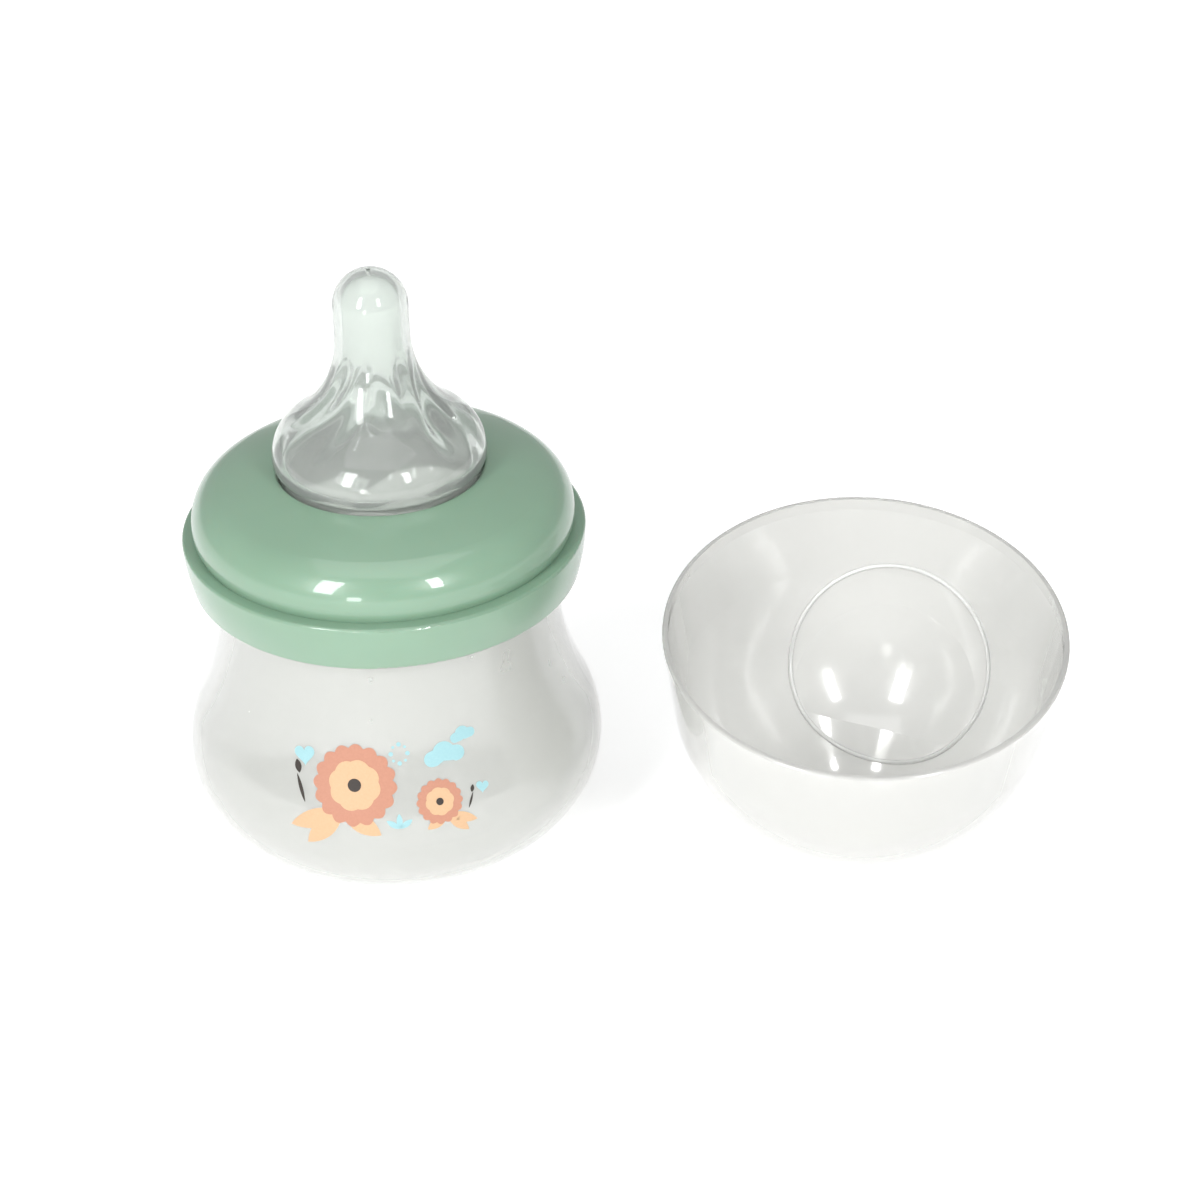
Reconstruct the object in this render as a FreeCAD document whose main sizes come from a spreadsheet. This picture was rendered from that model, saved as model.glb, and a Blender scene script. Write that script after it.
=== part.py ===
import FreeCAD, Part
import math
import os

import Sketcher

# Wide-neck feeding bottle for a newborn: a clear bottle, a silicone teat, a domed screw collar
# and a clear dome cap, which lies beside the bottle with its opening up.
# The frame: +Z is up, the origin is the centre of the bottle's flat base, and the cap is at +X.

doc = FreeCAD.newDocument("baby_bottle")


# ---------------------------------------------------------------- driving sizes, in millimetres

DRIVING = {
    # bottle
    "belly_radius": 38.7,
    "belly_height": 16.5,       # height of the widest ring; the foot curve has the same radius
    "shoulder_round": 20.0,
    "waist_radius": 31.2,
    "waist_height": 48.4,
    "neck_length": 15.6,        # the straight neck, from the waist up to the mouth
    "body_wall": 1.5,
    # screw thread between bottle and collar
    "thread_lead": 5.0,
    "thread_depth": 1.3,
    "thread_width": 1.8,        # at the root
    "thread_crest": 0.9,        # width at the crest
    "thread_turns": 1.25,
    "thread_drop": 7.8,         # from the mouth down to the start of the bottle's rib
    "thread_gap": 0.3,          # radial clearance
    "rib_bury": 0.3,            # how far a rib's foot runs into the wall it stands on
    # collar
    "skirt_length": 11.5,       # from the mouth down to the collar's lower edge
    "band_wall": 3.7,
    "band_taper": 1.2,          # how much smaller the band's radius is at its lower edge
    "band_round": 34.0,
    "ledge_drop": 2.7,          # from the mouth down to the ledge that carries the cap
    "dome_wall": 1.8,
    "dome_rise": 2.5,           # from the ledge up to the dome's widest ring
    "dome_round": 7.5,
    "dome_turn": 70.0,          # degrees of the rounded edge before the crown begins
    "groove_depth": 0.55,
    "crown_round": 67.0,
    "crown_wall": 2.0,
    "opening_radius": 18.65,
    "press_ring_width": 2.0,
    "roof_slope": 0.6,          # fall of the roof's inside for each millimetre outwards
    "edge_round": 0.5,          # radius of the outer edges
    # teat
    "flange_thickness": 1.6,
    "flange_lap": 0.3,          # how far the flange stops inside the bottle's outer edge
    "teat_gap": 0.3,            # clearance between the teat and the collar
    "cone_wall": 1.6,
    "bell_overhang": 0.6,       # how far the bell's widest ring passes the collar's opening
    "bell_rise": 2.4,           # from the collar's opening up to the bell's widest ring
    "bell_round": 8.0,
    "bell_wall": 2.0,
    "bell_climb": 23.3,         # from the bell's widest ring up to the nipple's neck
    "nipple_radius": 6.65,
    "nipple_length": 12.2,
    "nipple_wall": 1.5,
    "tip_hole": 0.8,
    "vent_hole": 1.2,
    # cap
    "cap_gap": 0.2,             # clearance around the collar's dome
    "cap_wall": 1.0,
    "cap_narrowing": 1.6,       # how much smaller the dome's radius is than the rim's
    "cap_cone_angle": 45.0,     # degrees from the pole where the dome turns into a cone
    "cap_tip_round": 19.3,
    "cap_tip_gap": 0.5,         # air between the teat's tip and the inside of the cap
    "cap_dish_tighter": 6.2,    # how much smaller the round dish's radius is than the dome's
    "cap_dish_bulge": 1.4,      # how far the dish stands out of the dome
    "cap_dish_polar": 39.4,     # degrees from the cap's pole
    "cap_dish_azimuth": -69.4,
    "cap_spacing": 10.9,        # from the belly across to the cap's rim
    "cap_front": 23.9,          # how far in front of the bottle's middle the cap lies
    "cap_tilt": 11.6,           # degrees that its opening leans to the front
}

# ---------------------------------------------------------------- sizes that follow from them

FOLLOWING = {
    # bottle: the foot curve is tangent to the flat base and to the belly, and the shoulder is
    # two tangent arcs, one round and one hollow, down from the waist to the belly
    "mouth_height": "Sizes.waist_height + Sizes.neck_length",
    "base_radius": "Sizes.belly_radius - Sizes.belly_height",
    "shoulder_drop": "Sizes.belly_radius - Sizes.waist_radius",
    "shoulder_rise": "Sizes.waist_height - Sizes.belly_height",
    "shoulder_reach": "(shoulder_drop ^ 2 + shoulder_rise ^ 2) / (2 * shoulder_drop)",
    "waist_round": "shoulder_reach - Sizes.shoulder_round",
    "turn_radius": "Sizes.belly_radius - Sizes.shoulder_round * shoulder_drop / shoulder_reach",
    "turn_height": "Sizes.belly_height + Sizes.shoulder_round * shoulder_rise / shoulder_reach",
    "foot_round_in": "Sizes.belly_height - Sizes.body_wall",
    "belly_radius_in": "Sizes.belly_radius - Sizes.body_wall",
    "shoulder_round_in": "Sizes.shoulder_round - Sizes.body_wall",
    "turn_radius_in": "turn_radius - Sizes.body_wall * (1 - shoulder_drop / shoulder_reach)",
    "turn_height_in": "turn_height - Sizes.body_wall * shoulder_rise / shoulder_reach",
    "waist_round_in": "waist_round + Sizes.body_wall",
    "mouth_radius": "Sizes.waist_radius - Sizes.body_wall",
    # thread: the bottle's rib and the collar's rib are half a lead apart
    "skirt_radius": "Sizes.waist_radius + Sizes.thread_depth + Sizes.thread_gap",
    "neck_rib_foot": "Sizes.waist_radius - Sizes.rib_bury",
    "neck_rib_crest": "Sizes.waist_radius + Sizes.thread_depth",
    "neck_rib_start": "mouth_height - Sizes.thread_drop",
    "collar_rib_foot": "skirt_radius + Sizes.rib_bury",
    "collar_rib_crest": "skirt_radius - Sizes.thread_depth",
    "collar_rib_start": "neck_rib_start - Sizes.thread_lead / 2",
    # collar, outside
    "collar_bottom": "mouth_height - Sizes.skirt_length",
    "ledge_height": "mouth_height - Sizes.ledge_drop",
    "band_radius": "skirt_radius + Sizes.band_wall",
    "band_bottom_radius": "band_radius - Sizes.band_taper",
    "band_bottom_flat": "band_bottom_radius - Sizes.edge_round",
    "band_foot_height": "collar_bottom + Sizes.edge_round",
    "band_top_height": "ledge_height - Sizes.edge_round",
    "band_top_flat": "band_radius - Sizes.edge_round",
    "dome_radius": "skirt_radius + Sizes.dome_wall",
    "dome_height": "ledge_height + Sizes.dome_rise",
    "groove_radius": "dome_radius - Sizes.groove_depth",
    "groove_curl": "(Sizes.groove_depth ^ 2 + Sizes.dome_rise ^ 2) / (2 * Sizes.groove_depth)",
    "dome_centre": "dome_radius - Sizes.dome_round",
    "crown_start_radius": "dome_centre + Sizes.dome_round * cos(Sizes.dome_turn * 1deg)",
    "crown_start_height": "dome_height + Sizes.dome_round * sin(Sizes.dome_turn * 1deg)",
    "crown_centre_radius": "crown_start_radius - Sizes.crown_round * cos(Sizes.dome_turn * 1deg)",
    "crown_centre_height": "crown_start_height - Sizes.crown_round * sin(Sizes.dome_turn * 1deg)",
    "opening_height": "crown_centre_height + sqrt(Sizes.crown_round ^ 2"
                      " - (Sizes.opening_radius - crown_centre_radius) ^ 2)",
    "opening_edge_radius": "Sizes.opening_radius + Sizes.edge_round",
    "opening_edge_height": "crown_centre_height + sqrt(Sizes.crown_round ^ 2"
                           " - (opening_edge_radius - crown_centre_radius) ^ 2)",
    "opening_side_height": "opening_edge_height - Sizes.edge_round",
    # collar, inside: the press ring comes down on the teat's flange
    "flange_top": "mouth_height + Sizes.flange_thickness",
    "crown_round_in": "Sizes.crown_round - Sizes.crown_wall",
    "opening_height_in": "crown_centre_height + sqrt(crown_round_in ^ 2"
                         " - (Sizes.opening_radius - crown_centre_radius) ^ 2)",
    "flange_radius": "Sizes.waist_radius - Sizes.flange_lap",
    "press_radius": "flange_radius - Sizes.teat_gap * 2",
    "press_radius_in": "press_radius - Sizes.press_ring_width",
    "press_root_height": "crown_centre_height + sqrt(crown_round_in ^ 2"
                         " - (press_radius - crown_centre_radius) ^ 2)",
    "press_root_height_in": "crown_centre_height + sqrt(crown_round_in ^ 2"
                            " - (press_radius_in - crown_centre_radius) ^ 2)",
    "skirt_top": "press_root_height - (skirt_radius - press_radius) * Sizes.roof_slope",
    # teat: the flange lies on the mouth, the neck passes the collar's opening
    "cone_start_radius": "press_radius_in - Sizes.teat_gap",
    "cone_radius_in": "cone_start_radius - Sizes.cone_wall",
    "neck_radius": "Sizes.opening_radius - Sizes.teat_gap",
    "neck_radius_in": "neck_radius - Sizes.bell_wall",
    "neck_bottom": "opening_height_in - Sizes.teat_gap",
    "neck_bottom_in": "neck_bottom - Sizes.cone_wall",
    "neck_top": "opening_height + Sizes.teat_gap",
    "vent_radius": "(cone_start_radius + neck_radius) / 2",
    "bell_radius": "Sizes.opening_radius + Sizes.bell_overhang",
    "bell_height": "opening_height + Sizes.bell_rise",
    "lip_drop": "bell_radius - neck_radius",
    "lip_rise": "bell_height - neck_top",
    "bell_lip": "(lip_drop ^ 2 + lip_rise ^ 2) / (2 * lip_drop)",
    "nipple_neck_height": "bell_height + Sizes.bell_climb",
    "teat_height": "nipple_neck_height + Sizes.nipple_length",
    "nipple_top": "teat_height - Sizes.nipple_radius",
    "bell_drop": "bell_radius - Sizes.nipple_radius",
    "bell_reach": "(bell_drop ^ 2 + Sizes.bell_climb ^ 2) / (2 * bell_drop)",
    "bell_hollow": "bell_reach - Sizes.bell_round",
    "bell_turn_radius": "bell_radius - Sizes.bell_round * bell_drop / bell_reach",
    "bell_turn_height": "bell_height + Sizes.bell_round * Sizes.bell_climb / bell_reach",
    "bell_radius_in": "bell_radius - Sizes.bell_wall",
    "bell_round_in": "Sizes.bell_round - Sizes.bell_wall",
    "nipple_radius_in": "Sizes.nipple_radius - Sizes.nipple_wall",
    "nipple_tip_in": "nipple_top + nipple_radius_in",
    "bell_drop_in": "bell_radius_in - nipple_radius_in",
    "bell_reach_in": "(bell_drop_in ^ 2 + Sizes.bell_climb ^ 2) / (2 * bell_drop_in)",
    "bell_hollow_in": "bell_reach_in - bell_round_in",
    "bell_turn_radius_in": "bell_radius_in - bell_round_in * bell_drop_in / bell_reach_in",
    "bell_turn_height_in": "bell_height + bell_round_in * Sizes.bell_climb / bell_reach_in",
    # cap: from the rim a slow cone, then a dome, a steeper cone and a rounded tip, all tangent
    "cap_rim_in": "dome_radius + Sizes.cap_gap",
    "cap_rim_radius": "cap_rim_in + Sizes.cap_wall",
    "cap_rim_flat": "cap_rim_radius - Sizes.edge_round",
    "cap_round": "cap_rim_radius - Sizes.cap_narrowing",
    "cap_round_in": "cap_round - Sizes.cap_wall",
    "cap_tip_in": "teat_height - ledge_height + Sizes.cap_tip_gap",
    "cap_tip": "cap_tip_in + Sizes.cap_wall",
    "cap_tip_round_in": "Sizes.cap_tip_round - Sizes.cap_wall",
    "cap_tip_centre": "cap_tip - Sizes.cap_tip_round",
    "cap_round_height": "cap_tip - (cap_round - Sizes.cap_tip_round"
                        " * (1 - cos(Sizes.cap_cone_angle * 1deg)))"
                        " / cos(Sizes.cap_cone_angle * 1deg)",
    "cap_lean": "acos(cap_round / hypot(cap_rim_radius; cap_round_height))"
                " - atan(cap_round_height / cap_rim_radius)",
    # inside, the rim is straight up to the collar's widest ring, so that it passes over the dome
    "cap_reach_in": "cap_round_height - Sizes.dome_rise",
    "cap_lean_in": "acos(cap_round_in / hypot(cap_rim_in; cap_reach_in))"
                   " - atan(cap_reach_in / cap_rim_in)",
    "cap_turn_radius": "cap_round * cos(cap_lean)",
    "cap_turn_height": "cap_round_height + cap_round * sin(cap_lean)",
    "cap_turn_radius_in": "cap_round_in * cos(cap_lean_in)",
    "cap_turn_height_in": "cap_round_height + cap_round_in * sin(cap_lean_in)",
    "cone_foot_radius": "cap_round * sin(Sizes.cap_cone_angle * 1deg)",
    "cone_foot_height": "cap_round_height + cap_round * cos(Sizes.cap_cone_angle * 1deg)",
    "cone_foot_radius_in": "cap_round_in * sin(Sizes.cap_cone_angle * 1deg)",
    "cone_foot_height_in": "cap_round_height + cap_round_in * cos(Sizes.cap_cone_angle * 1deg)",
    "cone_top_radius": "Sizes.cap_tip_round * sin(Sizes.cap_cone_angle * 1deg)",
    "cone_top_height": "cap_tip_centre + Sizes.cap_tip_round * cos(Sizes.cap_cone_angle * 1deg)",
    "cone_top_radius_in": "cap_tip_round_in * sin(Sizes.cap_cone_angle * 1deg)",
    "cone_top_height_in": "cap_tip_centre + cap_tip_round_in * cos(Sizes.cap_cone_angle * 1deg)",
    # the cap's round dish is part of a smaller sphere
    "dish_round": "cap_round - Sizes.cap_dish_tighter",
    "dish_round_in": "dish_round - Sizes.cap_wall",
    "dish_offset": "Sizes.cap_dish_tighter + Sizes.cap_dish_bulge",
    "dish_across": "dish_offset * sin(Sizes.cap_dish_polar * 1deg)",
    "dish_x": "dish_across * cos(Sizes.cap_dish_azimuth * 1deg)",
    "dish_y": "dish_across * sin(Sizes.cap_dish_azimuth * 1deg)",
    "dish_z": "cap_round_height + dish_offset * cos(Sizes.cap_dish_polar * 1deg)",
    "cap_below_rim": "-dish_round",
    # where the cap lies, on its rounded tip
    "cap_side": "Sizes.belly_radius + Sizes.cap_spacing + cap_rim_radius",
    "cap_rim_height": "cap_tip_centre * cos(Sizes.cap_tilt * 1deg) + Sizes.cap_tip_round",
}

# the four heights of each screw rib's section
for rib in ("neck_rib", "collar_rib"):
    for width in ("thread_width", "thread_crest"):
        FOLLOWING[f"{rib}_{width}_low"] = f"{rib}_start - Sizes.{width} / 2"
        FOLLOWING[f"{rib}_{width}_high"] = f"{rib}_start + Sizes.{width} / 2"


def fill_sheet(name, cells):
    """Put one value or formula in each row of a sheet, with its alias."""
    sheet = doc.addObject("Spreadsheet::Sheet", name)
    for row, (alias, content) in enumerate(cells.items(), start=1):
        sheet.set(f"A{row}", alias)
        sheet.set(f"B{row}", str(content) if isinstance(content, float) else "=" + content)
        sheet.setAlias(f"B{row}", alias)
    doc.recompute()
    return sheet


sizes = fill_sheet("Sizes", DRIVING)
fits = fill_sheet("Fits", FOLLOWING)


def source(alias):
    """Where a size is kept, as an expression."""
    return ("Sizes." if alias in DRIVING else "Fits.") + alias


def value(alias):
    """The number that a size has now."""
    sheet = sizes if alias in DRIVING else fits
    number = sheet.get(alias)
    return float(getattr(number, "Value", number))


def origin_plane(body, role):
    """One of the body's own origin planes."""
    return next(f for f in body.Origin.OriginFeatures if f.Role == role)


# ---------------------------------------------------------------- half sections as sketches

AXIS = "axis"       # on the axis of revolution
FLOOR = "floor"     # at height 0


def place(radius, height):
    x = 0.0 if radius == AXIS else value(radius)
    z = 0.0 if height == FLOOR else value(height)
    return FreeCAD.Vector(x, z, 0)


def arc_between(start, end, radius, turn):
    """The shorter arc from start to end; turn 1 is anticlockwise and -1 is clockwise."""
    middle = (start + end) * 0.5
    chord = end - start
    side = FreeCAD.Vector(-chord.y, chord.x, 0).normalize() * turn
    height = math.sqrt(max(radius ** 2 - chord.Length ** 2 / 4, 0))
    centre = middle + side * height
    first, last = (start, end) if turn > 0 else (end, start)
    circle = Part.Circle(centre, FreeCAD.Vector(0, 0, 1), radius)
    angles = [math.atan2(p.y - centre.y, p.x - centre.x) for p in (first, last)]
    return Part.ArcOfCircle(circle, angles[0], angles[1])


def half_section(body, name, outline):
    """A closed sketch on the body's XZ plane. Each row of the outline is a corner, as the names
    of its radius and height, and, where the edge that arrives there is an arc, the name of its
    radius and the way it turns."""
    sketch = body.newObject("Sketcher::SketchObject", name)
    sketch.AttachmentSupport = [(origin_plane(body, "XZ_Plane"), "")]
    sketch.MapMode = "FlatFace"
    rules = []
    ends = []
    for i, row in enumerate(outline):
        here = outline[i - 1]
        start, end = place(*here[:2]), place(*row[:2])
        if len(row) == 2:
            edge = sketch.addGeometry(Part.LineSegment(start, end))
            first, last = 1, 2
        else:
            edge = sketch.addGeometry(arc_between(start, end, value(row[2]), row[3]))
            first, last = (1, 2) if row[3] > 0 else (2, 1)
            rules.append((f"round_{i}", Sketcher.Constraint("Radius", edge, value(row[2])), row[2]))
        if here[0] == AXIS:
            sketch.addConstraint(Sketcher.Constraint("PointOnObject", edge, first, -2))
        else:
            rule = Sketcher.Constraint("DistanceX", -1, 1, edge, first, start.x)
            rules.append((f"across_{i}", rule, here[0]))
        if here[1] == FLOOR:
            sketch.addConstraint(Sketcher.Constraint("PointOnObject", edge, first, -1))
        else:
            rule = Sketcher.Constraint("DistanceY", -1, 1, edge, first, start.y)
            rules.append((f"up_{i}", rule, here[1]))
        ends.append((edge, first, last))
    for (edge, _, last), (following, first, _) in zip(ends, ends[1:] + ends[:1]):
        sketch.addConstraint(Sketcher.Constraint("Coincident", edge, last, following, first))
    for label, rule, alias in rules:
        number = sketch.addConstraint(rule)
        sketch.renameConstraint(number, label)
        sketch.setExpression("Constraints." + label, source(alias))
    return sketch


def revolve(body, name, outline, kind="PartDesign::Revolution"):
    """Turn a half section once round the Z axis, as material or as a cut."""
    sketch = half_section(body, name + "_section", outline)
    feature = body.newObject(kind, name)
    feature.Profile = sketch
    feature.ReferenceAxis = (sketch, ["V_Axis"])
    feature.Angle = 360.0
    doc.recompute()
    return feature


def helical_rib(body, rib):
    """One screw rib, a tapered ridge whose foot is buried in the wall it stands on."""
    sketch = half_section(body, rib + "_section", [
        (rib + "_foot", rib + "_thread_width_low"),
        (rib + "_crest", rib + "_thread_crest_low"),
        (rib + "_crest", rib + "_thread_crest_high"),
        (rib + "_foot", rib + "_thread_width_high"),
    ])
    helix = body.newObject("PartDesign::AdditiveHelix", rib)
    helix.Profile = sketch
    helix.ReferenceAxis = (sketch, ["V_Axis"])
    helix.Mode = "pitch-turns-angle"
    helix.setExpression("Pitch", "Sizes.thread_lead")
    helix.setExpression("Turns", "Sizes.thread_turns")
    doc.recompute()
    return helix


def new_body(label):
    body = doc.addObject("PartDesign::Body", label)
    body.Label = label
    return body


# ---------------------------------------------------------------- the pieces

def make_bottle():
    """Blown bottle: flat base, round belly, hollow waist and a straight neck with a screw rib."""
    body = new_body("bottle_body")
    revolve(body, "bottle_shell", [
        (AXIS, FLOOR),
        ("base_radius", FLOOR),
        ("belly_radius", "belly_height", "belly_height", 1),
        ("turn_radius", "turn_height", "shoulder_round", 1),
        ("waist_radius", "waist_height", "waist_round", -1),
        ("waist_radius", "mouth_height"),
        ("mouth_radius", "mouth_height"),
        ("mouth_radius", "waist_height"),
        ("turn_radius_in", "turn_height_in", "waist_round_in", 1),
        ("belly_radius_in", "belly_height", "shoulder_round_in", -1),
        ("base_radius", "body_wall", "foot_round_in", -1),
        (AXIS, "body_wall"),
    ])
    helical_rib(body, "neck_rib")
    return body


def make_collar():
    """Screw collar: a skirt with a screw rib inside, a ledge for the cap's rim, and a dome whose
    press ring holds the teat's flange down on the bottle's mouth."""
    body = new_body("screw_collar")
    revolve(body, "collar_shell", [
        ("skirt_radius", "collar_bottom"),
        ("band_bottom_flat", "collar_bottom"),
        ("band_bottom_radius", "band_foot_height", "edge_round", 1),
        ("band_radius", "band_top_height", "band_round", 1),
        ("band_top_flat", "ledge_height", "edge_round", 1),
        ("groove_radius", "ledge_height"),
        ("dome_radius", "dome_height", "groove_curl", 1),
        ("crown_start_radius", "crown_start_height", "dome_round", 1),
        ("opening_edge_radius", "opening_edge_height", "crown_round", 1),
        ("opening_radius", "opening_side_height", "edge_round", 1),
        ("opening_radius", "opening_height_in"),
        ("press_radius_in", "press_root_height_in", "crown_round_in", -1),
        ("press_radius_in", "flange_top"),
        ("press_radius", "flange_top"),
        ("press_radius", "press_root_height"),
        ("skirt_radius", "skirt_top"),
    ])
    helical_rib(body, "collar_rib")
    return body


def make_teat():
    """Silicone teat: sealing flange, cone, neck in the collar's opening, bell and nipple."""
    body = new_body("teat")
    revolve(body, "teat_shell", [
        ("mouth_radius", "mouth_height"),
        ("flange_radius", "mouth_height"),
        ("flange_radius", "flange_top"),
        ("cone_start_radius", "flange_top"),
        ("neck_radius", "neck_bottom"),
        ("neck_radius", "neck_top"),
        ("bell_radius", "bell_height", "bell_lip", 1),
        ("bell_turn_radius", "bell_turn_height", "bell_round", 1),
        ("nipple_radius", "nipple_neck_height", "bell_hollow", -1),
        ("nipple_radius", "nipple_top"),
        (AXIS, "teat_height", "nipple_radius", 1),
        (AXIS, "nipple_tip_in"),
        ("nipple_radius_in", "nipple_top", "nipple_radius_in", -1),
        ("nipple_radius_in", "nipple_neck_height"),
        ("bell_turn_radius_in", "bell_turn_height_in", "bell_hollow_in", 1),
        ("bell_radius_in", "bell_height", "bell_round_in", -1),
        ("neck_radius_in", "neck_top"),
        ("neck_radius_in", "neck_bottom_in"),
        ("cone_radius_in", "mouth_height"),
    ])
    drill(body, "tip_hole", AXIS, "neck_top")
    drill(body, "vent_hole", "vent_radius", "mouth_height")
    return body


def drill(body, name, across, bottom):
    """A round hole straight through one wall of the teat, cut from a height upwards."""
    hole = body.newObject("PartDesign::SubtractiveCylinder", name)
    hole.AttachmentSupport = [(origin_plane(body, "XY_Plane"), "")]
    hole.MapMode = "FlatFace"
    hole.setExpression("Radius", source(name) + " / 2")
    hole.setExpression("Height", "Fits.teat_height - Fits.mouth_height")
    if across != AXIS:
        hole.setExpression("AttachmentOffset.Base.x", source(across))
    hole.setExpression("AttachmentOffset.Base.z", source(bottom))
    doc.recompute()
    return hole


def make_cap():
    """Clear dome cap with a round dish on one side. It is drawn as it is worn, rim down, and then
    turned over and laid beside the bottle."""
    body = new_body("dome_cap")
    revolve(body, "cap_dome", [
        (AXIS, FLOOR),
        ("cap_rim_flat", FLOOR),
        ("cap_rim_radius", "edge_round", "edge_round", 1),
        ("cap_turn_radius", "cap_turn_height"),
        ("cone_foot_radius", "cone_foot_height", "cap_round", 1),
        ("cone_top_radius", "cone_top_height"),
        (AXIS, "cap_tip", "cap_tip_round", 1),
    ])
    ball(body, "dish_outside", "PartDesign::AdditiveSphere", "dish_round")
    revolve(body, "cap_hollow", [
        (AXIS, "cap_below_rim"),
        ("cap_rim_in", "cap_below_rim"),
        ("cap_rim_in", "dome_rise"),
        ("cap_turn_radius_in", "cap_turn_height_in"),
        ("cone_foot_radius_in", "cone_foot_height_in", "cap_round_in", 1),
        ("cone_top_radius_in", "cone_top_height_in"),
        (AXIS, "cap_tip_in", "cap_tip_round_in", 1),
    ], kind="PartDesign::Groove")
    ball(body, "dish_inside", "PartDesign::SubtractiveSphere", "dish_round_in")
    body.setExpression("Placement.Base.x", "Fits.cap_side")
    body.setExpression("Placement.Base.y", "-Sizes.cap_front")
    body.setExpression("Placement.Base.z", "Fits.cap_rim_height")
    body.Placement.Rotation = FreeCAD.Rotation(FreeCAD.Vector(1, 0, 0), 180)
    body.setExpression("Placement.Rotation.Angle", "180 + Sizes.cap_tilt")
    doc.recompute()
    return body


def ball(body, name, kind, radius):
    """A sphere of the cap's round dish, added outside or cut away inside."""
    feature = body.newObject(kind, name)
    feature.AttachmentSupport = [(origin_plane(body, "XY_Plane"), "")]
    feature.MapMode = "FlatFace"
    feature.setExpression("Radius", source(radius))
    for axis in "xyz":
        feature.setExpression(f"AttachmentOffset.Base.{axis}", f"Fits.dish_{axis}")
    doc.recompute()
    return feature


pieces = [make_bottle(), make_collar(), make_teat(), make_cap()]
doc.recompute()


# ---------------------------------------------------------------- checks and files

for thing in doc.Objects:
    for fault in ("Invalid", "Error"):
        if fault in thing.State:
            raise RuntimeError(f"{thing.Name} is in state {thing.State}")

os.makedirs("parts", exist_ok=True)
for piece in pieces:
    shape = piece.Shape
    if shape.isNull() or not shape.isValid() or len(shape.Solids) != 1:
        raise RuntimeError(f"{piece.Label} is not one sound solid")
    shape.exportStep(f"parts/{piece.Label}.step")
    box = shape.BoundBox
    print(f"{piece.Label}: {shape.Volume:.0f} mm3, x {box.XMin:.2f} to {box.XMax:.2f},"
          f" y {box.YMin:.2f} to {box.YMax:.2f}, z {box.ZMin:.2f} to {box.ZMax:.2f}")
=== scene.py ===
# %% [markdown]
# # A newborn's feeding bottle
# The bottle is four mouldings: a clear bottle, a silicone teat, a green screw collar and a clear
# cap. This file gives them their finish. The CAD model comes first, as a fixed frame: every piece
# here takes its place from it, so nothing is fitted by eye.

# %% Load the frame
import math

import bmesh
import bpy
from mathutils import Matrix, Vector
from mathutils.bvhtree import BVHTree
from mathutils.geometry import delaunay_2d_cdt


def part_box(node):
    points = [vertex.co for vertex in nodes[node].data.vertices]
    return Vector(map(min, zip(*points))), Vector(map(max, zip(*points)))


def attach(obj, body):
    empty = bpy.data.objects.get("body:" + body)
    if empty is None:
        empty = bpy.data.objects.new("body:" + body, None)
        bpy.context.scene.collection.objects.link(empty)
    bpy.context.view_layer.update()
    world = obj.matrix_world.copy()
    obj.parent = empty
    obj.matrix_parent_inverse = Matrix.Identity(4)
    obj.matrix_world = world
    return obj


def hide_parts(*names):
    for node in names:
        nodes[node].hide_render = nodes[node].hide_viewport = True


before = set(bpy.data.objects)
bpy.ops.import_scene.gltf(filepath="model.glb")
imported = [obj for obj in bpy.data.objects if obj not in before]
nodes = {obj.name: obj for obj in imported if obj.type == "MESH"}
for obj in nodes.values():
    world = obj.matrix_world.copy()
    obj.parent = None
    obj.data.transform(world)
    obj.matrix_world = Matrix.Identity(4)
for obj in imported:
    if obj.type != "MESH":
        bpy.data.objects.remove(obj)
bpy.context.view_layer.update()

# %% [markdown]
# All lengths are in metres. The model is small, so most sizes are written in millimetres and
# multiplied by MM, which keeps them as a maker would say them.

# %% Units and a few measures of the frame
MM = 0.001
bottle_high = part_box("bottle_body")[1]
teat_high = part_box("teat")[1]
collar_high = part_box("screw_collar")[1]
belly_radius = bottle_high[0]
print("belly radius mm:", round(belly_radius / MM, 2), "teat top mm:", round(teat_high[2] / MM, 2))

# %% [markdown]
# ## Camera, lights and floor
# The camera stands about half a metre away with a long lens, as for a product picture on a table,
# and looks down by 32 degrees. A long lens keeps the ellipses of the rings honest.

# %% The camera
CAMERA_PLACE = Vector((38.8, -456.4, 329.3)) * MM
CAMERA_PITCH = math.radians(32.03)
CAMERA_ROLL = math.radians(-1.11)
SENSOR_MM = 36.0
LENS_MM = 87.6
NEAR_CLIP = 0.01


def make_camera():
    """A camera whose right, up and back axes are worked out from its pitch and roll."""
    data = bpy.data.cameras.new("camera")
    data.sensor_width = SENSOR_MM
    data.lens = LENS_MM
    data.clip_start = NEAR_CLIP
    level_right = Vector((1, 0, 0))
    level_up = Vector((0, math.sin(CAMERA_PITCH), math.cos(CAMERA_PITCH)))
    right = level_right * math.cos(CAMERA_ROLL) + level_up * math.sin(CAMERA_ROLL)
    up = level_up * math.cos(CAMERA_ROLL) - level_right * math.sin(CAMERA_ROLL)
    turn = Matrix((right, up, right.cross(up))).transposed().to_4x4()
    camera = bpy.data.objects.new("camera", data)
    camera.matrix_world = Matrix.Translation(CAMERA_PLACE) @ turn
    bpy.context.scene.collection.objects.link(camera)
    bpy.context.scene.camera = camera
    return camera


camera = make_camera()
print("lens mm:", round(camera.data.lens, 1))

# %% [markdown]
# Two tall soft boxes stand in front, one on each side. They are what the collar, the belly and the
# teat mirror as small bright windows. A small lamp near the table lights the lower front, and a
# wide one overhead evens out the rest.

# %% The lights
AIM = Vector((0.03, 0, 0.05))


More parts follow.
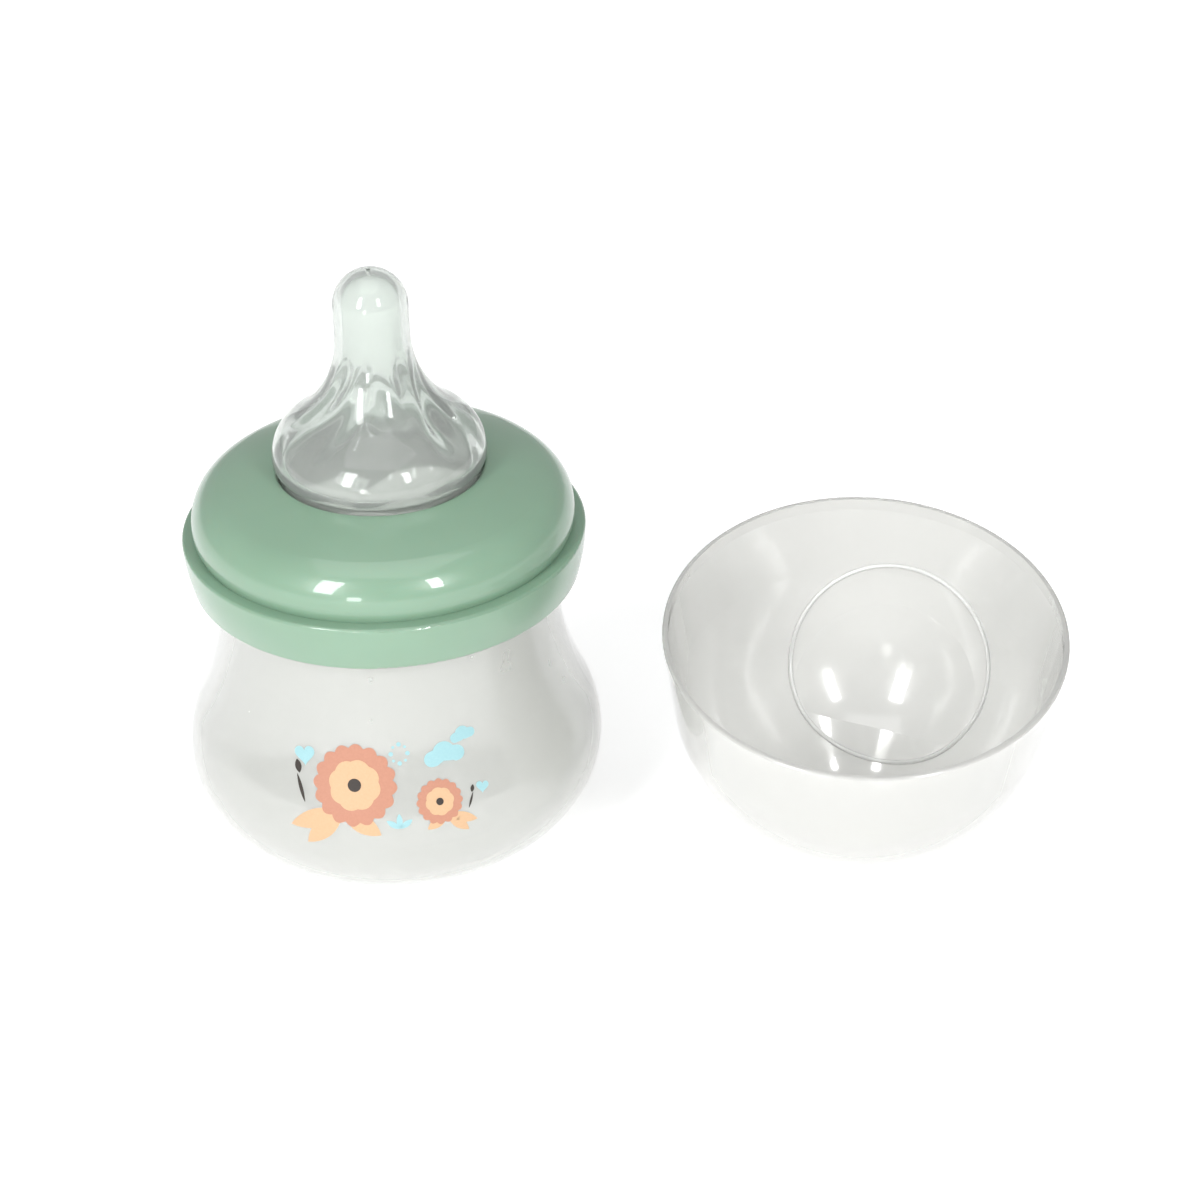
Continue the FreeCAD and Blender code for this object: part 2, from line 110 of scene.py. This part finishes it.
def soft_box(name, azimuth, height, distance, size, power):
    """A rectangle of light that faces the bottle. Azimuth is from the front (-Y) to the right (+X)."""
    data = bpy.data.lights.new(name, "AREA")
    data.shape = "RECTANGLE"
    data.size, data.size_y = size
    data.energy = power
    angle = math.radians(azimuth)
    place = Vector((math.sin(angle) * distance, -math.cos(angle) * distance, height))
    turn = (AIM - place).to_track_quat("-Z", "Y").to_matrix().to_4x4()
    lamp = bpy.data.objects.new(name, data)
    lamp.matrix_world = Matrix.Translation(place) @ turn
    bpy.context.scene.collection.objects.link(lamp)
    return lamp


soft_box("left_soft_box", azimuth=-32, height=0.55, distance=0.9, size=(0.2, 0.6), power=6.0)
soft_box("right_soft_box", azimuth=33, height=0.62, distance=1.0, size=(0.14, 0.5), power=5.0)
soft_box("low_soft_box", azimuth=-14, height=0.12, distance=0.8, size=(0.1, 0.14), power=0.6)
soft_box("top_soft_box", azimuth=0, height=1.2, distance=0.15, size=(1.0, 1.0), power=4.0)

# %% [markdown]
# Colours are written as sRGB hex values, as a colour picker gives them, and one function turns
# them to the linear values that a shader needs. A second one adds a node with its settings and
# links, and a third starts a material from the one shader that suits nearly everything. The rest
# are the few things that more than one finish or piece has: a patchy roughness, two close shades,
# a wavy skin, and a mesh put in the scene.

# %% Colour and node helpers
def hex_to_linear(code):
    """A colour such as "8fb399" as linear red, green, blue and alpha 1."""
    channels = [int(code[i:i + 2], 16) / 255 for i in (0, 2, 4)]
    return tuple(c / 12.92 if c <= 0.04045 else ((c + 0.055) / 1.055) ** 2.4
                 for c in channels) + (1.0,)


def add_node(tree, kind, inputs=(), **settings):
    """One node: settings are its own; inputs give its sockets a number, a colour or a link."""
    node = tree.nodes.new(kind)
    for name, setting in settings.items():
        setattr(node, name, setting)
    for socket, source in dict(inputs).items():
        if isinstance(source, bpy.types.NodeSocket):
            tree.links.new(source, node.inputs[socket])
        else:
            node.inputs[socket].default_value = source
    return node


def new_material(name, **sockets):
    """A material with one Principled shader, whose sockets are set by name."""
    material = bpy.data.materials.new(name)
    material.use_nodes = True
    shader = material.node_tree.nodes["Principled BSDF"]
    for socket, setting in sockets.items():
        shader.inputs[socket.replace("_", " ")].default_value = setting
    return material, material.node_tree, shader


def noise_of(tree, pattern_mm):
    """A noise over the piece, whose features are about so many millimetres across."""
    place = add_node(tree, "ShaderNodeTexCoord").outputs["Object"]
    noise = add_node(tree, "ShaderNodeTexNoise", {"Vector": place, "Scale": 1 / (pattern_mm * MM)})
    return noise.outputs["Fac"]


def make_roughness_patchy(tree, shader, pattern_mm, low, high):
    """Let the roughness drift between two values from patch to patch."""
    blur = add_node(tree, "ShaderNodeMapRange", {
        "Value": noise_of(tree, pattern_mm), "To Min": low, "To Max": high})
    tree.links.new(blur.outputs["Result"], shader.inputs["Roughness"])


def mix_shades(tree, shader, pattern_mm, one, other):
    """Let the colour drift between two close shades."""
    shade = add_node(tree, "ShaderNodeMix", {
        "Factor": noise_of(tree, pattern_mm), "A": hex_to_linear(one), "B": hex_to_linear(other)},
        data_type="RGBA")
    tree.links.new(shade.outputs["Result"], shader.inputs["Base Color"])


def waves(tree, pattern_mm, depth, strength):
    """A normal that leans as on a surface with soft waves so deep."""
    skin = add_node(tree, "ShaderNodeBump", {
        "Height": noise_of(tree, pattern_mm), "Distance": depth, "Strength": strength})
    return skin.outputs["Normal"]


def add_piece(name, data):
    """A new object in the scene with this mesh."""
    piece = bpy.data.objects.new(name, data)
    bpy.context.scene.collection.objects.link(piece)
    return piece


def mesh_of(curve):
    """The mesh of a curve or of a text, made through an object that is then thrown away."""
    holder = bpy.data.objects.new(curve.name, curve)
    data = bpy.data.meshes.new_from_object(holder)
    bpy.data.objects.remove(holder)
    return data


# %% [markdown]
# The set is a light table: a white card with light under it, as for a catalogue picture. It keeps
# the ground white and the shadows thin, and it is what the clear pieces show through their walls.
# The sky is a pale even grey.

# %% The sky and the light table
SKY_STRENGTH = 0.45
TABLE_GLOW = 0.55
TABLE_SIZE = 6              # metres
TABLE_GAP = 0.2 * MM        # keeps the card from touching the bottle's base

world = bpy.data.worlds.new("pale_sky")
world.use_nodes = True
world.node_tree.nodes["Background"].inputs["Color"].default_value = hex_to_linear("f4f5f5")
world.node_tree.nodes["Background"].inputs["Strength"].default_value = SKY_STRENGTH
bpy.context.scene.world = world
bpy.context.scene.view_settings.view_transform = "Standard"

table_finish, _, _ = new_material(
    "white_light_table", Base_Color=hex_to_linear("dcdcdc"), Roughness=0.9,
    Emission_Color=hex_to_linear("fdfdfd"), Emission_Strength=TABLE_GLOW)
bpy.ops.mesh.primitive_plane_add(size=TABLE_SIZE, location=(0, 0, -TABLE_GAP))
table = bpy.context.object
table.name = "light_table"
table.data.materials.append(table_finish)

# %% [markdown]
# ## Finishes
# The bottle is polypropylene (PP), stretched and blown in a polished mould. It is clear with a
# milky haze, because its crystals scatter some of the light on its way through, while the skin
# stays glossy. So the base is partly transmission and partly pale diffuse, with blurred
# refraction, and a smooth coat on top carries the sharp reflections. Blowing leaves the wall
# slightly wavy, which shows only in those reflections.

# %% Hazy polypropylene for the bottle
PP_IOR = 1.49
WAVE_MM = 14        # the slow waviness of a blown wall
WAVE_DEPTH = 0.12 * MM
HAZE_MM = 5         # patches where the crystals are coarser

blown_pp, tree, shader = new_material(
    "blown_clear_polypropylene", Base_Color=hex_to_linear("ebece8"), IOR=PP_IOR,
    Transmission_Weight=0.6, Coat_Weight=1.0, Coat_Roughness=0.03)
make_roughness_patchy(tree, shader, HAZE_MM, 0.2, 0.3)
tree.links.new(waves(tree, WAVE_MM, WAVE_DEPTH, 1.0), shader.inputs["Coat Normal"])

# %% [markdown]
# The cap is the same plastic, injected between two polished steels, so it is thinner, clearer and
# without the waviness.

# %% Clear polypropylene for the cap
moulded_pp, tree, shader = new_material(
    "moulded_clear_polypropylene", Base_Color=hex_to_linear("efefec"), IOR=PP_IOR,
    Transmission_Weight=0.6, Coat_Weight=1.0, Coat_Roughness=0.03)
make_roughness_patchy(tree, shader, HAZE_MM, 0.14, 0.22)

# %% [markdown]
# The ring on the cap's side is the same plastic again, but the light crosses more of it there. It
# meets more crystals on its way, so the ring is cloudier. It is also drawn whiter than that, as a
# painted highlight for the bright line that the ring shows.

# %% Polypropylene where the cap is thick, whitened as a painted highlight
thick_pp_and_painted_highlight, _, _ = new_material(
    "thick_polypropylene_and_painted_highlight", Base_Color=hex_to_linear("fafbf9"), IOR=PP_IOR, Roughness=0.25,
    Transmission_Weight=0.35, Coat_Weight=1.0, Coat_Roughness=0.03)

# %% [markdown]
# The teat is liquid silicone rubber, cured in a polished mould. It is clearer than the plastic and
# bends light less. A trace of cloudiness keeps it from looking like glass.

# %% Silicone for the teat
SILICONE_IOR = 1.41
CLOUD_MM = 7

silicone, tree, shader = new_material(
    "liquid_silicone_rubber", Base_Color=hex_to_linear("edf2ee"), IOR=SILICONE_IOR,
    Transmission_Weight=0.82)
make_roughness_patchy(tree, shader, CLOUD_MM, 0.03, 0.09)

# %% [markdown]
# The collar is PP with pigment. The pigment never mixes quite evenly, so the colour drifts a
# little over a centimetre or two, and the moulded skin has a very fine orange peel, about half a
# millimetre from crest to crest, that softens the edges of its reflections.

# %% Sage green polypropylene for the collar
PIGMENT_MM = 18
PEEL_MM = 0.5
PEEL_DEPTH = 0.012 * MM

sage_pp, tree, shader = new_material(
    "sage_polypropylene", IOR=PP_IOR, Roughness=0.3, Coat_Weight=0.7, Coat_Roughness=0.03,
    Subsurface_Weight=0.08, Subsurface_Scale=1.5 * MM)
mix_shades(tree, shader, PIGMENT_MM, "799881", "83a28b")
tree.links.new(waves(tree, PEEL_MM, PEEL_DEPTH, 0.6), shader.inputs["Normal"])

# %% [markdown]
# The prints are pad-printed ink: matt, opaque, and a few hundredths of a millimetre thick. The
# pad leaves the ink faintly uneven, like a fine stipple.

# %% Printing inks
STIPPLE_MM = 0.4


def pad_print_ink(name, light, dark):
    """A matt ink whose colour moves between two close shades in a fine stipple."""
    material, tree, shader = new_material(name, Roughness=0.55)
    mix_shades(tree, shader, STIPPLE_MM, light, dark)
    return material


INKS = {
    "terracotta": pad_print_ink("terracotta_ink", "bd8770", "b27b65"),
    "peach": pad_print_ink("peach_ink", "d0ad89", "c8a27d"),
    "sky_blue": pad_print_ink("sky_blue_ink", "9bc4c9", "90bac1"),
    "umber": pad_print_ink("umber_ink", "352c26", "28211d"),
    "grey": pad_print_ink("grey_ink", "8b8f90", "7d8183"),
}

# %% [markdown]
# ## The CAD nodes
# Bottle, collar and cap keep their exact CAD shapes and only take their finishes.

# %% Put the finishes on the CAD nodes
for name, finish in (("bottle_body", blown_pp), ("screw_collar", sage_pp),
                     ("teat", silicone), ("dome_cap", moulded_pp)):
    nodes[name].data.materials.clear()
    nodes[name].data.materials.append(finish)

# %% [markdown]
# ## The teat
# The light that comes through the real teat's bell is bent into swirls, as it is where the inner
# wall has soft folds. The outside is plain, so the piece is a copy of the CAD teat whose inner wall
# alone is made finer and pushed in and out by a few crossing waves: the fit in the collar stays
# exact. The folds start above the collar's opening and end below the nipple.

# %% Make the folded teat
FOLD_DEPTH = 0.5 * MM
FOLD_BEND = 0.7             # radians that the folds wander to and fro
FINE_EDGE = 0.9 * MM        # the inner wall's edges are halved, twice, while they are longer
WELD = 0.001 * MM
FOLDS = ((7, 4.0, 0.0), (11, -9.0, 1.3), (4, 13.0, 2.1))  # waves round, radians up the bell, start
FOLD_LOW = collar_high[2] + 0.5 * MM
FOLD_HIGH = teat_high[2] - 15 * MM      # the nipple is the part above
SHARP_EDGE = math.radians(30)           # edges that bend more than this stay crisp


def faces_the_axis(face):
    """True for a face of the inner wall between the collar's opening and the nipple."""
    middle = face.calc_center_median()
    outward = Vector((middle.x, middle.y, 0))
    return FOLD_LOW < middle.z < FOLD_HIGH and face.normal.dot(outward) < 0


def fold(place):
    """How far the inner wall moves from the axis at a place."""
    climb = (place.z - FOLD_LOW) / (FOLD_HIGH - FOLD_LOW)
    if not 0 < climb < 1:
        return 0.0
    angle = math.atan2(place.y, place.x)
    bend = FOLD_BEND * math.sin(2 * angle + 3 * climb)
    wave = sum(math.sin(count * angle + twist * climb + start + bend)
               for count, twist, start in FOLDS) / 2
    return FOLD_DEPTH * wave * math.sin(math.pi * climb) ** 0.6


def make_folded_teat():
    mesh = bmesh.new()
    mesh.from_mesh(nodes["teat"].data)
    bmesh.ops.remove_doubles(mesh, verts=mesh.verts, dist=WELD)
    for _ in range(2):
        mesh.normal_update()
        inner = {edge for face in mesh.faces if faces_the_axis(face) for edge in face.edges
                 if edge.calc_length() > FINE_EDGE}
        bmesh.ops.subdivide_edges(mesh, edges=list(inner), cuts=1)
        bmesh.ops.triangulate(mesh, faces=[f for f in mesh.faces if len(f.verts) > 3])
    mesh.normal_update()
    walls = {vert for face in mesh.faces if faces_the_axis(face) for vert in face.verts}
    for vert in walls:
        outward = Vector((vert.co.x, vert.co.y, 0)).normalized()
        vert.co += outward * fold(vert.co)
    data = bpy.data.meshes.new("folded_teat")
    mesh.to_mesh(data)
    mesh.free()
    data.polygons.foreach_set("use_smooth", [True] * len(data.polygons))
    data.set_sharp_from_angle(angle=SHARP_EDGE)
    data.materials.append(silicone)
    return add_piece("folded_teat", data), len(walls)


folded_teat, moved = make_folded_teat()
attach(folded_teat, "teat")
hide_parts("teat")
print("inner points moved:", moved, "faces:", len(folded_teat.data.polygons))

# %% [markdown]
# ## The cap's ring
# A fine round bead marks the dish on the cap's side. It lies where a cylinder along the dish's own
# axis meets the inner wall, so its points are found by looking outwards from inside the cap, along
# that axis. The wall is thicker at the bead, so the bead scatters more light. Its finish is also
# whitened beyond that, as a painted highlight for the ring's bright line.

# %% Make the ring
RING_MIDDLE = Vector((93.01, 2.13, 26.75)) * MM
RING_AXIS = Vector((0.285, 0.8715, -0.399)).normalized()
RING_RADIUS = 18.8 * MM
RING_REACH = 14 * MM        # how far inside the cap the look outwards starts
BEAD_RADIUS = 0.4 * MM
BEAD_SUNK = 0.5             # of the bead's radius, how far its middle stands inside the wall's face
BEAD_STEPS = 120


def surface_of(node):
    """A search tree of a node's surface."""
    return BVHTree.FromPolygons([v.co for v in nodes[node].data.vertices],
                                [p.vertices for p in nodes[node].data.polygons])


def ring_points():
    """Points of the bead's middle, all round the circle on the cap's inner wall."""
    across = RING_AXIS.orthogonal().normalized()
    upward = RING_AXIS.cross(across)
    surface = surface_of("dome_cap")
    for step in range(BEAD_STEPS):
        turn = math.tau * step / BEAD_STEPS
        side = (across * math.cos(turn) + upward * math.sin(turn)) * RING_RADIUS
        start = RING_MIDDLE + side - RING_AXIS * RING_REACH
        hit = surface.ray_cast(start, RING_AXIS)[0]
        if hit is not None:
            yield hit - RING_AXIS * BEAD_RADIUS * BEAD_SUNK


def make_ring():
    points = list(ring_points())
    curve = bpy.data.curves.new("cap_ring", "CURVE")
    curve.dimensions = "3D"
    curve.bevel_depth = BEAD_RADIUS
    curve.bevel_resolution = 3
    spline = curve.splines.new("POLY")
    spline.use_cyclic_u = True
    spline.points.add(len(points) - 1)
    for point, place in zip(spline.points, points):
        point.co = (*place, 1)
    data = mesh_of(curve)
    data.polygons.foreach_set("use_smooth", [True] * len(data.polygons))
    data.materials.clear()
    # the bead's whiter finish is partly a painted highlight for the ring's bright line
    data.materials.append(thick_pp_and_painted_highlight)
    print("ring points:", len(points))
    return add_piece("cap_ring", data)


cap_ring = make_ring()
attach(cap_ring, "cap")

# %% [markdown]
# ## The prints
# Each motif is drawn flat, in millimetres, as an outline of (across, up) points. It is filled with
# small triangles and laid on the belly: every point is dropped along one straight line onto the
# glossy wall and lifted by the thickness of the ink, so the print follows the round body the way
# a soft printing pad does.

# %% Lay a flat drawing on the belly
INK_THICKNESS = 0.03 * MM
FILL_STEP = 1.2             # millimetres between the points inside a filled outline
FILL_ROUNDING = 1e-5        # points closer than this are one point
PAD_LIFT = 8 * MM           # how far above the wall the drawing starts its way down

bottle_surface = surface_of("bottle_body")
drawings = {ink: ([], []) for ink in INKS}


def wall_at(azimuth, height):
    """A point of the wall and its outward direction; azimuth 0 is the front (-Y)."""
    angle = math.radians(azimuth)
    outward = Vector((math.sin(angle), -math.cos(angle), 0))
    start = outward * 2 * belly_radius + Vector((0, 0, height * MM))
    return bottle_surface.ray_cast(start, -outward)[:2]


def fill(outline):
    """Points and triangles that fill an outline, with a grid of points inside it."""
    (left, bottom), (right, top) = [[pick(p[k] for p in outline) for k in (0, 1)] for pick in (min, max)]
    inner = [Vector((left + FILL_STEP * i, bottom + FILL_STEP * j))
             for i in range(1, int((right - left) / FILL_STEP) + 1)
             for j in range(1, int((top - bottom) / FILL_STEP) + 1)]
    points = [Vector(p) for p in outline] + inner
    loop = [(i, (i + 1) % len(outline)) for i in range(len(outline))]
    flat, _, faces, *_ = delaunay_2d_cdt(points, loop, [], 1, FILL_ROUNDING)
    return flat, faces


def drop(ink, flat, faces, azimuth, height, layer):
    """Drop flat points on the wall round a place. A higher layer lies on a lower one."""
    middle, outward = wall_at(azimuth, height)
    across = Vector((0, 0, 1)).cross(outward).normalized()
    upward = outward.cross(across)
    verts, polygons = drawings[ink]
    first = len(verts)
    for x, y in flat:
        above = middle + across * x * MM + upward * y * MM + outward * PAD_LIFT
        hit, normal, *_ = bottle_surface.ray_cast(above, -outward)
        verts.append(hit + normal * INK_THICKNESS * layer)
    polygons.extend(tuple(first + i for i in face) for face in faces)


def lay(ink, outline, azimuth, height, turn=0.0, layer=1):
    """Fill an outline, turn it and drop it on the wall, in one ink."""
    flat, faces = fill(outline)
    spin = Matrix.Rotation(math.radians(turn), 2)
    drop(ink, [spin @ point for point in flat], faces, azimuth, height, layer)


# %% [markdown]
# A few outlines are enough for a nursery pattern: a scalloped flower, a leaf, a heart, a cloud, a
# dot and a bar.

# %% Draw the outlines
def flower(radius, petals, depth, steps=10):
    """A disc with a scalloped edge."""
    count = petals * steps
    outline = []
    for i in range(count):
        bump = abs(math.sin(math.pi * i / steps))
        reach = radius - depth + depth * bump
        angle = math.tau * i / count
        outline.append((reach * math.cos(angle), reach * math.sin(angle)))
    return outline


def dot(radius, count=20):
    return [(radius * math.cos(math.tau * i / count), radius * math.sin(math.tau * i / count))
            for i in range(count)]


def leaf(length, width, steps=10):
    """A pointed oval from the origin along +X."""
    side = [(length * i / steps, width / 2 * math.sin(math.pi * i / steps) ** 0.8)
            for i in range(steps + 1)]
    return side + [(x, -y) for x, y in side[-2:0:-1]]


HEART_WIDTH = 32            # of the heart curve before it is scaled


def heart(size, count=36):
    outline = []
    for i in range(count):
        angle = math.tau * i / count
        x = 16 * math.sin(angle) ** 3
        y = 13 * math.cos(angle) - 5 * math.cos(2 * angle) - 2 * math.cos(3 * angle) - math.cos(4 * angle)
        outline.append((x * size / HEART_WIDTH, y * size / HEART_WIDTH))
    return outline


# place and radius of each round top, in widths of the cloud, and its first and last angle
CLOUD_TOPS = ((0.32, 0.2, 0.2, -90, 75), (0, 0.3, 0.28, 25, 155), (-0.32, 0.2, 0.2, 105, 270))


def cloud(width, steps=9):
    """Three round tops on a flat foot."""
    outline = []
    for across, up, radius, start, end in CLOUD_TOPS:
        for i in range(steps + 1):
            angle = math.radians(start + (end - start) * i / steps)
            outline.append(((across + radius * math.cos(angle)) * width,
                            (up + radius * math.sin(angle)) * width))
    return outline


def bar(length, width):
    return [(0, -width / 2), (length, -width / 2), (length, width / 2), (0, width / 2)]


# %% [markdown]
# The pattern itself: a large and a small flower with leaves and stems, hearts, a burst of drops, a
# tuft of leaves and two clouds.

# %% Lay the pattern on the front
def print_flower(azimuth, height, radius, lean):
    """A terracotta flower with a peach middle and a dark eye."""
    lay("terracotta", flower(radius, 16, radius * 0.1), azimuth, height, turn=lean, layer=2)
    lay("peach", flower(radius * 0.62, 8, radius * 0.05), azimuth, height, turn=lean, layer=3)
    lay("umber", dot(radius * 0.16), azimuth, height, layer=4)


def step_aside(azimuth, right, rise, height):
    """An azimuth and a height a few millimetres away from a place on the belly."""
    return azimuth + math.degrees(right * MM / belly_radius), height + rise


BIG, SMALL = (-8.6, 28.0), (15.2, 24.6)        # azimuth and height
print_flower(*BIG, radius=7.6, lean=10)
print_flower(*SMALL, radius=4.2, lean=30)
for (azimuth, height), size, side in ((BIG, 1.0, -1), (SMALL, 0.55, 1)):
    for turn, length in ((200, 10.5), (225, 9.5), (-30, 8.0)):
        spot = step_aside(azimuth, side * 2.0 * size, -4.5 * size, height)
        lay("peach", leaf(length * size, 3.6 * size), *spot, turn=turn if side < 0 else 180 - turn)
    spot = step_aside(azimuth, side * 9.5 * size, -4.0 * size, height)
    lay("umber", leaf(5.5 * size, 0.7 * size), *spot, turn=90 - side * 25, layer=2)
    spot = step_aside(azimuth, side * 11.5 * size, 0.6 * size, height)
    lay("umber", leaf(2.6 * size, 1.3 * size), *spot, turn=90 - side * 20, layer=2)

DROPS, BURST = 8, 1.7       # how many drops, and how far in millimetres they flew
lay("sky_blue", heart(4.0), -24.7, 32.0, turn=12)
lay("sky_blue", heart(2.4), 28.0, 25.4, turn=-12)
for i in range(DROPS):
    turn = math.tau * i / DROPS
    spot = step_aside(4.8, BURST * math.cos(turn), BURST * math.sin(turn), 33.4)
    lay("sky_blue", dot(0.28 if i % 2 else 0.42, 12), *spot)
for turn in (35, 90, 145):
    lay("sky_blue", leaf(2.8, 1.1), 3.8, 20.6, turn=turn)
lay("sky_blue", cloud(7.2), 18.6, 30.6, turn=4)
lay("sky_blue", cloud(4.6), 25.2, 34.0, turn=8)

# %% [markdown]
# On the back stands a plain scale in millilitres. Each mark is at the height where this bottle
# holds that much: the inner wall is measured every half millimetre and the volume is added up.

# %% Measure the volume and lay the scale
SLICE = 0.5                 # millimetres
CUBIC_MM_PER_ML = 1000
SCALE_AZIMUTH = -142.0
LABELS = (20, 40, 60, 80, 100, 120)
WALL_FLOOR = 1.5            # millimetres, where the milk begins
NECK_FOOT = 56              # millimetres, where measuring stops
DIGIT_SIZE = 3.4            # millimetres
LABEL_ASIDE = 14            # degrees from a mark to its number
LABEL_DROP = 1.2            # millimetres that a number's foot lies under its mark


def inner_radius(height):
    """The inner wall's radius at a height, both in millimetres."""
    return bottle_surface.ray_cast(Vector((0, 0, height * MM)), Vector((1, 0, 0)))[3] / MM


def digits(text, size):
    """A number as flat points and faces, in millimetres."""
    curve = bpy.data.curves.new("digits", "FONT")
    curve.body, curve.size, curve.resolution_u = text, size, 3
    data = mesh_of(curve)
    flat = [vert.co.xy for vert in data.vertices]
    faces = [tuple(face.vertices) for face in data.polygons]
    bpy.data.meshes.remove(data)
    return flat, faces


held = 0.0
marks = {}
height = WALL_FLOOR
while height < NECK_FOOT and len(marks) < len(LABELS):
    held += math.pi * inner_radius(height + SLICE / 2) ** 2 * SLICE / CUBIC_MM_PER_ML
    height += SLICE
    for label in LABELS:
        if held >= label and label not in marks:
            marks[label] = height
print("mark heights mm:", marks)
for label, height in marks.items():
    lay("grey", bar(6.0, 0.5), SCALE_AZIMUTH, height)
    drop("grey", *digits(str(label), DIGIT_SIZE), SCALE_AZIMUTH + LABEL_ASIDE, height - LABEL_DROP, 2)

# %% Make one printed piece for each ink
for ink, (verts, polygons) in drawings.items():
    data = bpy.data.meshes.new("print_" + ink)
    data.from_pydata(verts, [], polygons)
    data.materials.append(INKS[ink])
    piece = add_piece("print_" + ink, data)
    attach(piece, "bottle")
    print(ink, "triangles:", len(polygons))
